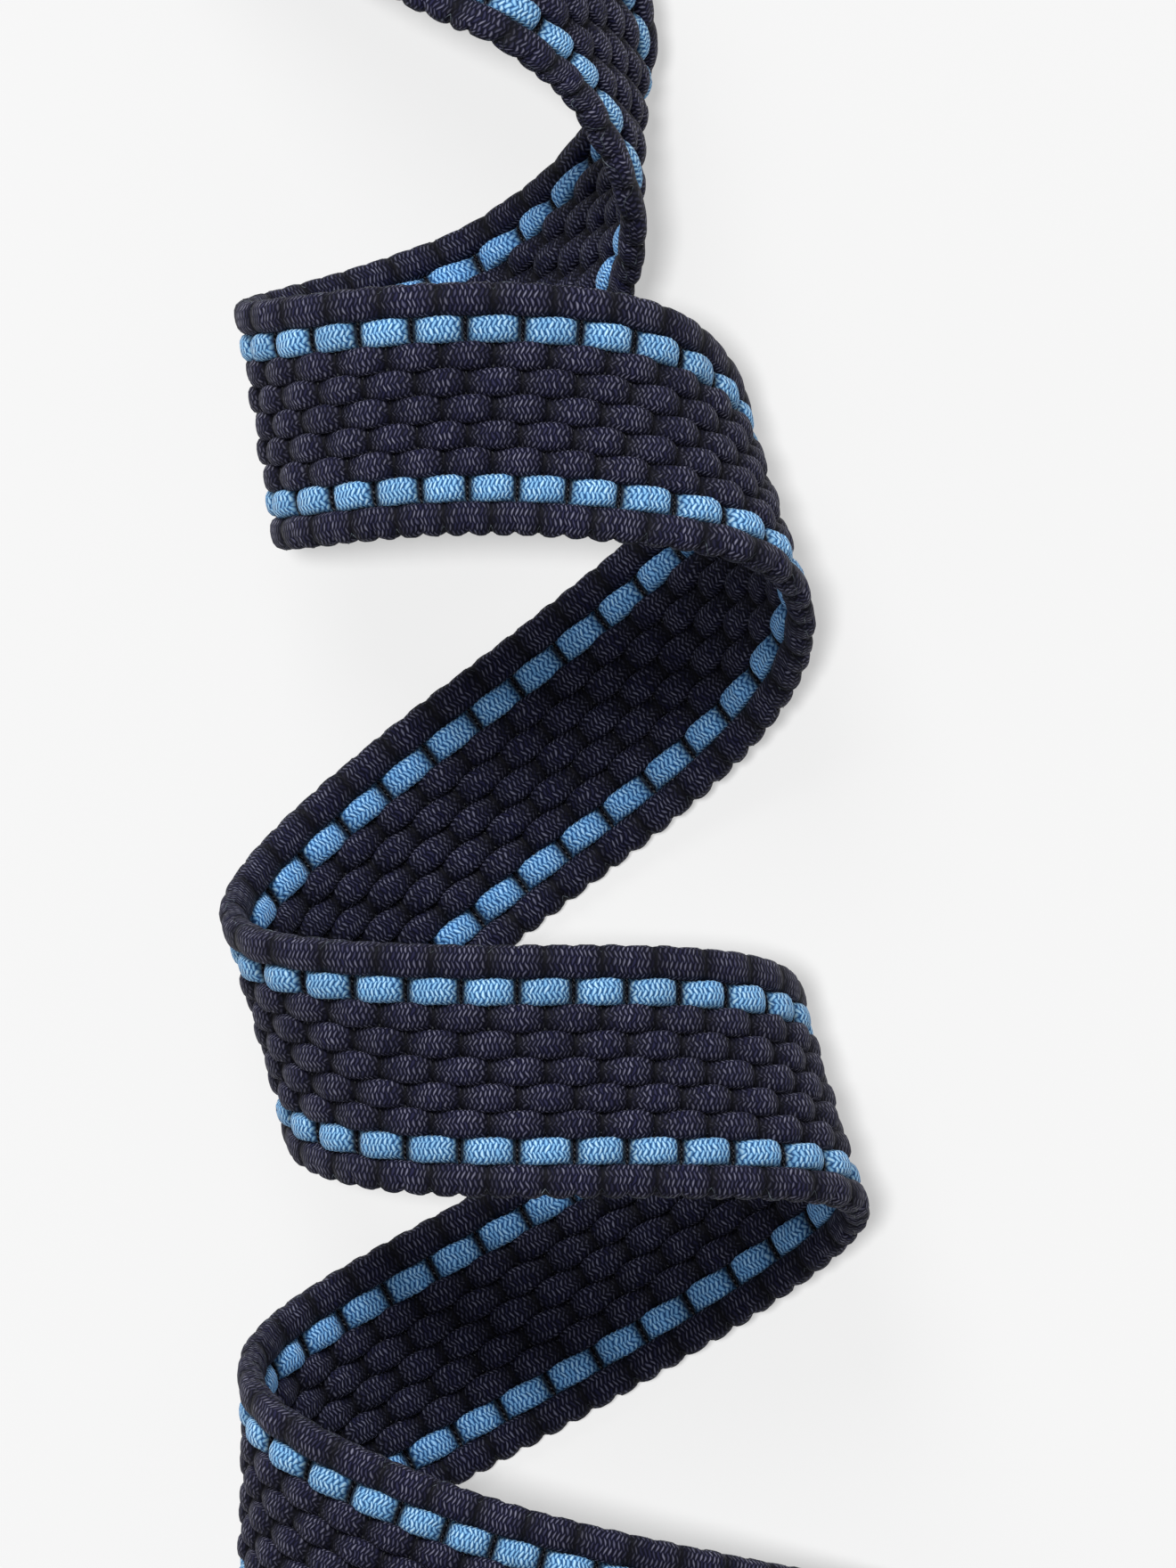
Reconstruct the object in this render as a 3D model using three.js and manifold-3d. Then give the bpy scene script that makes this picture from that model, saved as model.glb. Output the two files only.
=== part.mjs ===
// A woven elastic belt laid down in a loose coil, with a leather tab, a buckle and a leather tip.
// Millimetres, +Z up. The belt lies on the plane z = 0 and its coil runs along Y.
import * as THREE from "three";
import { mergeVertices } from "three/addons/utils/BufferGeometryUtils.js";
import Module from "manifold-3d";

const wasm = await Module();
wasm.setup();

// Band: nine cords side by side, a thicker one along each edge
const INNER_CORDS = 7;
const INNER_CORD_WIDTH = 3.72;
const INNER_HALF_DEPTH = 1.8;
const EDGE_CORD_WIDTH = 4.6;
const EDGE_HALF_DEPTH = 2.1;
const GROOVE_HALF_DEPTH = 1.15;
const BAND_WIDTH = INNER_CORDS * INNER_CORD_WIDTH + 2 * EDGE_CORD_WIDTH;

// Leather and the room that it leaves round what it holds
const LEATHER = 1.6;
const CLEARANCE = 0.3;
const POCKET = 2 * EDGE_HALF_DEPTH + 2 * CLEARANCE;
const END_HEIGHT = POCKET / 2 + LEATHER;
const LEATHER_WIDTH = 36;
const GRIP = 24;

// Buckle: a rounded frame whose rear rail is the bar, with its prong
const BAR_FROM_BAND = 9;
const FRAME_LENGTH = 43;
const FRAME_INNER_WIDTH = 38.5;
const RAIL = 4;
const FRAME_DEPTH = 3.4;
const FRAME_BEVEL = 0.8;
const FRAME_CORNER = 7;
const FRAME_DROOP = 3.2;
const PRONG_WIDTH = 3.4;
const PRONG_DEPTH = 2.4;
const PRONG_SLOT_WIDTH = 5.4;

// Tip
const TIP_REACH = 34;
const TIP_SHOULDER = 15;
const TIP_THIN = 3.4;
const TIP_SLOPE = 13;

// The middle of the whole belt in the route's own coordinates, which becomes the origin
const CENTRE_X = -13.57;
const CENTRE_Y = 27.13;

// The band's route, a row for each run and fold.
// x, y and z are the middle of the band. Lean and tilt turn its width, which runs towards -Y:
// lean swings it towards +X and tilt lifts it. A run is level, a fold stands upright,
// and a bend heads from its neighbour before to its neighbour after.
const ROUTE = [
  { name: "buckle_end", kind: "run", x: -111.8, y: 181.5, z: END_HEIGHT, lean: -26, tilt: 0 },
  { name: "buckle_lying", kind: "run", x: -86.3, y: 168.7, z: END_HEIGHT, lean: -26, tilt: 0 },
  { name: "front_0", kind: "bend", x: -9, y: 120.6, z: 48, lean: -28, tilt: 10 },
  { name: "over_0", kind: "bend", x: 0.4, y: 109.1, z: 38.5, lean: -21.5, tilt: 46 },
  { name: "right_0", kind: "bend", x: 6.6, y: 90.6, z: 28, lean: -3, tilt: 51 },
  { name: "under_0", kind: "bend", x: 0, y: 77.5, z: 18, lean: 30, tilt: 52 },
  { name: "back_0", kind: "bend", x: -15.3, y: 62.6, z: 9, lean: 29, tilt: 22 },
  { name: "left_1", kind: "fold", x: -45.8, y: 50.8, z: 27, lean: 9.5, tilt: -5 },
  { name: "front_1", kind: "run", x: -8, y: 52.5, z: 52, lean: -2.5, tilt: 2 },
  { name: "right_1", kind: "fold", x: 25.3, y: 40, z: 29, lean: 17.5, tilt: 32 },
  { name: "back_1", kind: "run", x: -8.3, y: 1.1, z: 2.75, lean: 37, tilt: 0 },
  { name: "left_2", kind: "fold", x: -45.5, y: -34.9, z: 27, lean: 16, tilt: -17 },
  { name: "front_2", kind: "run", x: -6, y: -40.3, z: 52, lean: 0.5, tilt: 0 },
  { name: "right_2", kind: "fold", x: 33.4, y: -44.7, z: 27, lean: 17, tilt: 16 },
  { name: "back_2", kind: "run", x: -14.3, y: -77.7, z: 2.35, lean: 28.5, tilt: 0 },
  { name: "left_3", kind: "fold", x: -47.7, y: -100.1, z: 27, lean: -1, tilt: -17 },
  { name: "front_3", kind: "run", x: -8, y: -120, z: 52, lean: -14, tilt: 0 },
  { name: "tip_lying", kind: "run", x: 76.5, y: -139.3, z: END_HEIGHT, lean: -14, tilt: 0 },
  { name: "tip_end", kind: "run", x: 104, y: -146.2, z: END_HEIGHT, lean: -14, tilt: 0 },
];
const BULGE = 1.02;
const STEPS_PER_ROW = 60;
const SOFTENING = 16;
const TURN_PER_SECTION = THREE.MathUtils.degToRad(12.5);
const LONGEST_SECTION = 13;

const UP = new THREE.Vector3(0, 0, 1);

// The band's width direction for a lean and a tilt in degrees.
function across(lean, tilt) {
  const swing = THREE.MathUtils.degToRad(lean);
  const lift = THREE.MathUtils.degToRad(tilt);
  const level = Math.cos(lift);
  return new THREE.Vector3(Math.sin(swing) * level, -Math.cos(swing) * level, Math.sin(lift));
}

// The direction of travel at row i, which is square to the band's width.
function heading(i) {
  const row = ROUTE[i];
  const width = across(row.lean, row.tilt);
  const before = ROUTE[Math.max(i - 1, 0)];
  const after = ROUTE[Math.min(i + 1, ROUTE.length - 1)];
  const onward = new THREE.Vector3(after.x - before.x, after.y - before.y, after.z - before.z);
  let travel = onward.clone().addScaledVector(width, -onward.dot(width));
  if (row.kind === "run") travel = new THREE.Vector3().crossVectors(width, UP);
  if (row.kind === "fold") {
    const outward = across(row.lean + 90, 0);
    travel = new THREE.Vector3().crossVectors(width, outward);
  }
  if (travel.dot(onward) < 0) travel.negate();
  return travel.normalize();
}

// A smooth curve from row i to the next, with the handles that an arc of the same turn would have.
function stretch(i) {
  const start = new THREE.Vector3(ROUTE[i].x, ROUTE[i].y, ROUTE[i].z);
  const end = new THREE.Vector3(ROUTE[i + 1].x, ROUTE[i + 1].y, ROUTE[i + 1].z);
  const leaving = heading(i);
  const arriving = heading(i + 1);
  const turn = Math.max(leaving.angleTo(arriving), 0.01);
  const handle = (BULGE * (4 / 3) * Math.tan(turn / 4)) / Math.sin(turn);
  const chord = end.clone().sub(start);
  const first = start.clone().addScaledVector(leaving, handle * Math.abs(chord.dot(leaving)));
  const second = end.clone().addScaledVector(arriving, -handle * Math.abs(chord.dot(arriving)));
  return new THREE.CubicBezierCurve3(start, first, second, end);
}

// Each vector of a list becomes the mean of itself, twice, and its two neighbours.
function soften(vectors) {
  return vectors.map((v, i) => {
    if (i === 0 || i === vectors.length - 1) return v.clone();
    return vectors[i - 1].clone().add(vectors[i + 1]).addScaledVector(v, 2).multiplyScalar(0.25);
  });
}

// The list's vectors at even distances of about 1 mm along the band.
function evenOut(vectors, distances) {
  const total = distances[distances.length - 1];
  const count = Math.floor(total);
  const even = [];
  let k = 0;
  for (let n = 0; n <= count; n++) {
    const at = (total * n) / count;
    while (k < distances.length - 2 && distances[k + 1] < at) k++;
    const share = (at - distances[k]) / (distances[k + 1] - distances[k]);
    even.push(vectors[k].clone().lerp(vectors[k + 1], share));
  }
  return even;
}

// The band's middle line with its travel, width and face directions, at about every millimetre.
function beltLine() {
  const angles = ROUTE.map((row) => new THREE.Vector3(row.lean, row.tilt, 0));
  const turning = new THREE.CatmullRomCurve3(angles, false, "catmullrom", 0.5);
  let points = [];
  let widths = [];
  const last = ROUTE.length - 1;
  for (let i = 0; i < last; i++) {
    const curve = stretch(i);
    for (let k = i === 0 ? 0 : 1; k <= STEPS_PER_ROW; k++) {
      const along = k / STEPS_PER_ROW;
      const angle = turning.getPoint((i + along) / last);
      points.push(curve.getPoint(along));
      widths.push(across(angle.x, angle.y));
    }
  }
  const distances = [0];
  for (let i = 1; i < points.length; i++) {
    distances.push(distances[i - 1] + points[i].distanceTo(points[i - 1]));
  }
  points = evenOut(points, distances);
  widths = evenOut(widths, distances);
  for (let pass = 0; pass < SOFTENING; pass++) {
    points = soften(points);
    widths = soften(widths);
  }
  return points.map((point, i) => {
    const before = points[Math.max(i - 1, 0)];
    const after = points[Math.min(i + 1, points.length - 1)];
    const travel = after.clone().sub(before).normalize();
    const width = widths[i].clone().addScaledVector(travel, -widths[i].dot(travel)).normalize();
    const face = new THREE.Vector3().crossVectors(travel, width);
    return { point, travel, width, face };
  });
}

// The stations that the solid needs: one wherever the band has turned or run on far enough.
function sections(line) {
  const kept = [line[0]];
  let run = 0;
  for (let i = 1; i < line.length - 1; i++) {
    const last = kept[kept.length - 1];
    run += line[i].point.distanceTo(line[i - 1].point);
    const turned = Math.max(line[i].travel.angleTo(last.travel), line[i].width.angleTo(last.width));
    if (turned < TURN_PER_SECTION && run < LONGEST_SECTION) continue;
    kept.push(line[i]);
    run = 0;
  }
  kept.push(line[line.length - 1]);
  return kept;
}

// A path for extruding that hands over the band's own stations and directions.
class BandPath extends THREE.Curve {
  constructor(stations) {
    super();
    this.stations = stations;
  }

  getPoint(t) {
    const at = Math.round(t * (this.stations.length - 1));
    return this.stations[at].point.clone();
  }

  getSpacedPoints() {
    return this.stations.map((station) => station.point.clone());
  }

  computeFrenetFrames() {
    return {
      tangents: this.stations.map((station) => station.travel),
      normals: this.stations.map((station) => station.width),
      binormals: this.stations.map((station) => station.face),
    };
  }
}

// The band's cross-section: a ridge for each cord on both faces, and rounded edge cords.
function bandShape() {
  const ridges = [];
  const edgeMiddle = (BAND_WIDTH - EDGE_CORD_WIDTH) / 2;
  ridges.push([-BAND_WIDTH / 2, 0]);
  ridges.push([-edgeMiddle - 0.35 * EDGE_CORD_WIDTH, 0.72 * EDGE_HALF_DEPTH]);
  ridges.push([-edgeMiddle, EDGE_HALF_DEPTH]);
  for (let i = 0; i < INNER_CORDS; i++) {
    const left = (i - INNER_CORDS / 2) * INNER_CORD_WIDTH;
    ridges.push([left, GROOVE_HALF_DEPTH]);
    ridges.push([left + INNER_CORD_WIDTH / 2, INNER_HALF_DEPTH]);
  }
  ridges.push([(INNER_CORDS / 2) * INNER_CORD_WIDTH, GROOVE_HALF_DEPTH]);
  ridges.push([edgeMiddle, EDGE_HALF_DEPTH]);
  ridges.push([edgeMiddle + 0.35 * EDGE_CORD_WIDTH, 0.72 * EDGE_HALF_DEPTH]);
  ridges.push([BAND_WIDTH / 2, 0]);
  const below = ridges.slice(1, -1).reverse();
  const outline = [...ridges, ...below.map(([x, depth]) => [x, -depth])];
  return new THREE.Shape(outline.map(([x, depth]) => new THREE.Vector2(x, depth)));
}

function bandGeometry(line) {
  const stations = sections(line);
  const options = { steps: stations.length - 1, extrudePath: new BandPath(stations) };
  return new THREE.ExtrudeGeometry(bandShape(), options);
}

// A closed geometry as a solid that can be joined and cut.
function toSolid(geometry) {
  const bare = geometry.clone();
  bare.deleteAttribute("normal");
  bare.deleteAttribute("uv");
  const merged = mergeVertices(bare, 1e-4);
  const mesh = new wasm.Mesh({
    numProp: 3,
    vertProperties: new Float32Array(merged.attributes.position.array),
    triVerts: new Uint32Array(merged.index.array),
  });
  return new wasm.Manifold(mesh);
}

function fromSolid(solid) {
  const mesh = solid.getMesh();
  const geometry = new THREE.BufferGeometry();
  geometry.setAttribute("position", new THREE.BufferAttribute(mesh.vertProperties, 3));
  geometry.setIndex(new THREE.BufferAttribute(mesh.triVerts, 1));
  return geometry;
}

// A side profile, drawn as x outward and y up, extruded across the belt and stood upright.
function acrossBelt(profile, width, curveSegments) {
  const options = { depth: width, bevelEnabled: false, curveSegments };
  const geometry = new THREE.ExtrudeGeometry(profile, options);
  geometry.translate(0, 0, -width / 2);
  geometry.rotateX(Math.PI / 2);
  return geometry;
}

// The leather tab: one strip folded round the bar, with the band's end between its two layers.
// Its own frame has x outward from the band's end and z = 0 on the ground.
function tabGeometry() {
  const outer = POCKET / 2 + LEATHER;
  const inner = POCKET / 2;
  const profile = new THREE.Shape();
  profile.moveTo(-GRIP, 0);
  profile.lineTo(BAR_FROM_BAND, 0);
  profile.absarc(BAR_FROM_BAND, END_HEIGHT, outer, -Math.PI / 2, Math.PI / 2, false);
  profile.lineTo(-GRIP, END_HEIGHT + outer);
  profile.lineTo(-GRIP, END_HEIGHT + inner);
  profile.lineTo(BAR_FROM_BAND, END_HEIGHT + inner);
  profile.absarc(BAR_FROM_BAND, END_HEIGHT, inner, Math.PI / 2, -Math.PI / 2, true);
  profile.lineTo(-GRIP, END_HEIGHT - inner);
  profile.closePath();
  const strip = toSolid(acrossBelt(profile, LEATHER_WIDTH, 10));
  const slotLength = 16;
  const slot = new THREE.BoxGeometry(slotLength, PRONG_SLOT_WIDTH, END_HEIGHT + outer);
  slot.translate(BAR_FROM_BAND + 6 - slotLength / 2, 0, END_HEIGHT - inner / 2 + outer);
  return fromSolid(strip.subtract(toSolid(slot)));
}

// The buckle's frame, flat in its own plane with the bar's middle at the origin.
function frameGeometry() {
  const halfOuter = FRAME_INNER_WIDTH / 2 + RAIL;
  const halfInner = FRAME_INNER_WIDTH / 2;
  const outline = roundedRectangle(-RAIL / 2, FRAME_LENGTH - RAIL / 2, halfOuter, FRAME_CORNER, 3);
  const hole = roundedRectangle(RAIL / 2, FRAME_LENGTH - 1.5 * RAIL, halfInner, FRAME_CORNER - RAIL, 1);
  outline.holes.push(hole);
  const geometry = new THREE.ExtrudeGeometry(outline, {
    depth: FRAME_DEPTH - 2 * FRAME_BEVEL,
    bevelThickness: FRAME_BEVEL,
    bevelSize: FRAME_BEVEL,
    bevelOffset: -FRAME_BEVEL,
    bevelSegments: 2,
    curveSegments: 8,
  });
  geometry.translate(0, 0, FRAME_BEVEL - FRAME_DEPTH / 2);
  return geometry;
}

// A rectangle from x0 to x1 and to both sides of y = 0, with rounder corners at its far end.
function roundedRectangle(x0, x1, halfWidth, farRadius, nearRadius) {
  const shape = new THREE.Shape();
  shape.moveTo(x0 + nearRadius, -halfWidth);
  shape.lineTo(x1 - farRadius, -halfWidth);
  shape.absarc(x1 - farRadius, -halfWidth + farRadius, farRadius, -Math.PI / 2, 0, false);
  shape.lineTo(x1, halfWidth - farRadius);
  shape.absarc(x1 - farRadius, halfWidth - farRadius, farRadius, 0, Math.PI / 2, false);
  shape.lineTo(x0 + nearRadius, halfWidth);
  shape.absarc(x0 + nearRadius, halfWidth - nearRadius, nearRadius, Math.PI / 2, Math.PI, false);
  shape.lineTo(x0, -halfWidth + nearRadius);
  shape.absarc(x0 + nearRadius, -halfWidth + nearRadius, nearRadius, Math.PI, 1.5 * Math.PI, false);
  shape.closePath();
  return shape;
}

// The prong runs from the bar over the far rail, and is one piece with the frame.
function prongGeometry() {
  const overRail = (FRAME_DEPTH + PRONG_DEPTH) / 2 - 0.3;
  const route = new THREE.CatmullRomCurve3([
    new THREE.Vector3(0, 0, 0.2),
    new THREE.Vector3(9, 0, 1.1),
    new THREE.Vector3(26, 0, overRail - 0.6),
    new THREE.Vector3(FRAME_LENGTH - 2 * RAIL, 0, overRail),
    new THREE.Vector3(FRAME_LENGTH - 1, 0, overRail - 0.7),
  ]);
  const section = new THREE.Shape();
  section.absellipse(0, 0, PRONG_WIDTH / 2, PRONG_DEPTH / 2, 0, 2 * Math.PI, false, 0);
  return new THREE.ExtrudeGeometry(section, { steps: 14, extrudePath: route, curveSegments: 8 });
}

function buckleGeometry() {
  const joined = fromSolid(toSolid(frameGeometry()).add(toSolid(prongGeometry())));
  joined.rotateY(THREE.MathUtils.degToRad(FRAME_DROOP));
  joined.translate(BAR_FROM_BAND, 0, END_HEIGHT);
  return joined;
}

// The leather tip: two layers that hold the band's end and meet beyond it in a rounded point.
function tipGeometry() {
  const top = END_HEIGHT + POCKET / 2 + LEATHER;
  const third = (TIP_SLOPE - CLEARANCE) / 3;
  const profile = new THREE.Shape();
  profile.moveTo(-GRIP, 0);
  profile.lineTo(TIP_REACH, 0);
  profile.lineTo(TIP_REACH, TIP_THIN);
  profile.lineTo(TIP_SLOPE, TIP_THIN);
  profile.bezierCurveTo(TIP_SLOPE - third, TIP_THIN, CLEARANCE + third, top, CLEARANCE, top);
  profile.lineTo(-GRIP, top);
  profile.lineTo(-GRIP, top - LEATHER);
  profile.lineTo(CLEARANCE, top - LEATHER);
  profile.lineTo(CLEARANCE, LEATHER);
  profile.lineTo(-GRIP, LEATHER);
  profile.closePath();
  const half = LEATHER_WIDTH / 2;
  const plan = new THREE.Shape();
  plan.moveTo(-GRIP - 1, -half);
  plan.lineTo(TIP_SHOULDER, -half);
  plan.bezierCurveTo(TIP_SHOULDER + 11, -half, TIP_REACH, -0.45 * half, TIP_REACH, 0);
  plan.bezierCurveTo(TIP_REACH, 0.45 * half, TIP_SHOULDER + 11, half, TIP_SHOULDER, half);
  plan.lineTo(-GRIP - 1, half);
  plan.closePath();
  const sideways = toSolid(acrossBelt(profile, LEATHER_WIDTH + 2, 8));
  const column = new THREE.ExtrudeGeometry(plan, { depth: top + 2, bevelEnabled: false, curveSegments: 14 });
  column.translate(0, 0, -1);
  return fromSolid(sideways.intersect(toSolid(column)));
}

function makeMesh(name, geometry, color, roughness, metalness) {
  const material = new THREE.MeshStandardMaterial({ color, roughness, metalness });
  const mesh = new THREE.Mesh(geometry, material);
  mesh.name = name;
  return mesh;
}

// A group that stands at one end of the band, with x pointing away from the band.
function endGroup(row, outward) {
  const group = new THREE.Group();
  group.position.set(row.x, row.y, 0);
  group.rotation.z = Math.atan2(outward.y, outward.x);
  return group;
}

const line = beltLine();
const buckleEnd = endGroup(ROUTE[0], line[0].travel.clone().negate());
const tipEnd = endGroup(ROUTE[ROUTE.length - 1], line[line.length - 1].travel);
const belt = new THREE.Group();
belt.position.set(-CENTRE_X, -CENTRE_Y, 0);
belt.add(makeMesh("band", bandGeometry(line), 0x23212e, 0.85, 0));
buckleEnd.add(makeMesh("buckle_tab", tabGeometry(), 0x1f1d24, 0.55, 0));
buckleEnd.add(makeMesh("buckle", buckleGeometry(), 0xb9bcc0, 0.3, 1));
tipEnd.add(makeMesh("end_tip", tipGeometry(), 0x1f1d24, 0.55, 0));
belt.add(buckleEnd);
belt.add(tipEnd);

const group = new THREE.Group();
group.add(belt);
export default group;
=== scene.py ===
# %% [markdown]
# # A braided elastic belt, laid down in a loose coil
# The belt is a band of nine braided cords held together by a thin crossing yarn, with a leather
# tab and a buckle at one end and a leather tip at the other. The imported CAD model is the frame:
# it says where everything is, and this script gives each piece its real surface around it.

# %% Load the frame
import math
import random

import bmesh
import bpy
import numpy as np
from mathutils import Matrix, Vector
from mathutils.kdtree import KDTree


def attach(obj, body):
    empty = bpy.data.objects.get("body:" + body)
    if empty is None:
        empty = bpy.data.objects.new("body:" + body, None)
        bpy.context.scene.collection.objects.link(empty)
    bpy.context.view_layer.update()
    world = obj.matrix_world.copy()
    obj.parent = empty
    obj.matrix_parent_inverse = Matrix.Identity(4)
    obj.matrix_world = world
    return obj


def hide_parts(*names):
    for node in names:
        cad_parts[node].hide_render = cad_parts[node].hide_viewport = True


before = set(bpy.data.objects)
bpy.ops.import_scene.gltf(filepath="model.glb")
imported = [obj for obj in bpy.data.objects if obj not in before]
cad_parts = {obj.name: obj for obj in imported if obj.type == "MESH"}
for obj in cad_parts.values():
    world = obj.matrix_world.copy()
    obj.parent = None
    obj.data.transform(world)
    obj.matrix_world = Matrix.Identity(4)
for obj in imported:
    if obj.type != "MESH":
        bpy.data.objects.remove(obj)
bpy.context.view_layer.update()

# %% [markdown]
# ## The camera
# The belt was photographed from straight above. The camera looks down from 2.6 m through the
# middle of the picture, and its focal length makes a millimetre on the upper runs 8 pixels of
# the full 1320 by 1760 frame. A camera that isn't turned at all already looks down -Z with +Y up.

# %% Camera
MM = 0.001
CENTRE = (-13.57 * MM, 27.13 * MM)
CAMERA_HEIGHT = 2.6
FOCAL_PIXELS = 20417
FRAME_PIXELS = 1760
SENSOR = 36

camera_data = bpy.data.cameras.new("overhead_camera")
camera_data.sensor_fit = "VERTICAL"
camera_data.sensor_width = SENSOR
camera_data.sensor_height = SENSOR
camera_data.lens = FOCAL_PIXELS / FRAME_PIXELS * SENSOR
camera_data.clip_start = 0.01
camera_data.clip_end = 10
camera = bpy.data.objects.new("overhead_camera", camera_data)
camera.location = (-CENTRE[0], -CENTRE[1], CAMERA_HEIGHT)
bpy.context.scene.collection.objects.link(camera)
bpy.context.scene.camera = camera
print("lens", round(camera_data.lens, 1), "mm")

# %% [markdown]
# ## The route of the band
# A stiff strap laid in a coil runs level over the top and along the ground, and stands upright
# in its folds. So its route is a short table: a row for each run and fold, with the place of
# the band's middle and two angles for its width. Lean swings the width, tilt lifts it. Arcs
# join the rows. These are the same rows and rules that the CAD band is made from, in mm.

# %% Route table
END_HEIGHT = 4.0
ROUTE = [
    # name, kind, x, y, z, lean, tilt
    ("buckle_end", "run", -111.8, 181.5, END_HEIGHT, -26, 0),
    ("buckle_lying", "run", -86.3, 168.7, END_HEIGHT, -26, 0),
    ("front_0", "bend", -9, 120.6, 48, -28, 10),
    ("over_0", "bend", 0.4, 109.1, 38.5, -21.5, 46),
    ("right_0", "bend", 6.6, 90.6, 28, -3, 51),
    ("under_0", "bend", 0, 77.5, 18, 30, 52),
    ("back_0", "bend", -15.3, 62.6, 9, 29, 22),
    ("left_1", "fold", -45.8, 50.8, 27, 9.5, -5),
    ("front_1", "run", -8, 52.5, 52, -2.5, 2),
    ("right_1", "fold", 25.3, 40, 29, 17.5, 32),
    ("back_1", "run", -8.3, 1.1, 2.75, 37, 0),
    ("left_2", "fold", -45.5, -34.9, 27, 16, -17),
    ("front_2", "run", -6, -40.3, 52, 0.5, 0),
    ("right_2", "fold", 33.4, -44.7, 27, 17, 16),
    ("back_2", "run", -14.3, -77.7, 2.35, 28.5, 0),
    ("left_3", "fold", -47.7, -100.1, 27, -1, -17),
    ("front_3", "run", -8, -120, 52, -14, 0),
    ("tip_lying", "run", 76.5, -139.3, END_HEIGHT, -14, 0),
    ("tip_end", "run", 104, -146.2, END_HEIGHT, -14, 0),
]
BULGE = 1.02
STEPS_PER_ROW = 60
SOFTENING = 16
print("the route has", len(ROUTE), "rows")

# %% [markdown]
# ### From the table to a line
# Each row's travel is square to the band's width. A cubic curve joins two rows, with handles as
# long as those of an arc that turns as far. The line is then cut into even steps of about a
# millimetre and softened a little, because a real band has no kinks.

# %% Line of the band
PLACES = np.array([row[2:5] for row in ROUTE], float)
ANGLES = np.array([row[5:7] for row in ROUTE], float)


def unit(vectors):
    return vectors / np.linalg.norm(vectors, axis=-1, keepdims=True)


def across(lean, tilt):
    """The band's width direction for a lean and a tilt in degrees."""
    swing, lift = math.radians(lean), math.radians(tilt)
    level = math.cos(lift)
    return np.array([math.sin(swing) * level, -math.cos(swing) * level, math.sin(lift)])


def heading(i):
    """The direction of travel at row i."""
    kind, lean, tilt = ROUTE[i][1], *ANGLES[i]
    width = across(lean, tilt)
    onward = PLACES[min(i + 1, len(ROUTE) - 1)] - PLACES[max(i - 1, 0)]
    travel = onward - (onward @ width) * width
    if kind == "run":
        travel = np.cross(width, (0, 0, 1))
    if kind == "fold":
        travel = np.cross(width, across(lean + 90, 0))
    return unit(travel if travel @ onward >= 0 else -travel)


def stretch(i):
    """Points of the curve from row i to the next, and the angles of the width along it."""
    start, end = PLACES[i], PLACES[i + 1]
    leaving, arriving = heading(i), heading(i + 1)
    turn = max(math.acos(np.clip(leaving @ arriving, -1, 1)), 0.01)
    handle = BULGE * 4 / 3 * math.tan(turn / 4) / math.sin(turn)
    first = start + leaving * handle * abs((end - start) @ leaving)
    second = end - arriving * handle * abs((end - start) @ arriving)
    t = (np.arange(STEPS_PER_ROW) / STEPS_PER_ROW)[:, None]
    points = (1 - t) ** 3 * start + 3 * (1 - t) ** 2 * t * first
    points += 3 * (1 - t) * t**2 * second + t**3 * end
    last = len(ROUTE) - 1
    before, after = ANGLES[max(i - 1, 0)], ANGLES[min(i + 2, last)]
    out, into = (ANGLES[i + 1] - before) / 2, (after - ANGLES[i]) / 2
    angles = hermite(ANGLES[i], out, ANGLES[i + 1], into, t)
    return points, [across(*pair) for pair in angles]


def hermite(a, out, b, into, t):
    """A smooth step from a, leaving by out, to b, arriving by into."""
    return (
        (2 * t**3 - 3 * t**2 + 1) * a
        + (t**3 - 2 * t**2 + t) * out
        + (3 * t**2 - 2 * t**3) * b
        + (t**3 - t**2) * into
    )


def soften(vectors):
    """Each vector becomes the mean of itself, twice, and its neighbours."""
    inner = (vectors[:-2] + 2 * vectors[1:-1] + vectors[2:]) / 4
    return np.concatenate([vectors[:1], inner, vectors[-1:]])


def belt_line():
    """Distances, points, travel, width and face directions along the band."""
    parts = [stretch(i) for i in range(len(ROUTE) - 1)]
    points = np.concatenate([part[0] for part in parts] + [PLACES[-1:]])
    widths = np.concatenate([part[1] for part in parts] + [[across(*ANGLES[-1])]])
    steps = np.linalg.norm(np.diff(points, axis=0), axis=1)
    reach = np.concatenate([[0], np.cumsum(steps)])
    at = np.linspace(0, reach[-1], int(reach[-1]) + 1)
    points, widths = (
        np.stack([np.interp(at, reach, column) for column in vectors.T], axis=1)
        for vectors in (points, widths)
    )
    for _ in range(SOFTENING):
        points, widths = soften(points), soften(widths)
    travel = unit(np.gradient(points, axis=0))
    widths = unit(widths - (widths * travel).sum(1, keepdims=True) * travel)
    return at, points, widths, np.cross(travel, widths) * -1


LINE_AT, LINE_POINTS, LINE_WIDTHS, LINE_FACES = belt_line()
BAND_LENGTH = LINE_AT[-1]
print("the band is", round(BAND_LENGTH, 1), "mm long")

# %% [markdown]
# ### Placing things on the band
# Everything woven is easier to think of on a flat band: so far along it, so far across it, and
# so high above its middle. This helper turns such places into places in the scene, in metres.

# %% Flat places to real places
def smooth_at(vectors, s):
    """The line's vectors at distances s, on a smooth curve through them."""
    step = LINE_AT[1]
    i = np.clip((s / step).astype(int), 0, len(LINE_AT) - 2)
    slopes = np.gradient(vectors, axis=0)
    t = (s / step - i)[..., None]
    return hermite(vectors[i], slopes[i], vectors[i + 1], slopes[i + 1], t)


def on_band(along, sideways, above):
    """Places in metres for distances along, across and above the flat band in mm."""
    middle = smooth_at(LINE_POINTS, along)
    width = unit(smooth_at(LINE_WIDTHS, along))
    face = unit(smooth_at(LINE_FACES, along))
    place = middle + width * sideways[..., None] + face * above[..., None]
    return (place - np.array([*CENTRE, 0]) / MM) * MM


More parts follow.
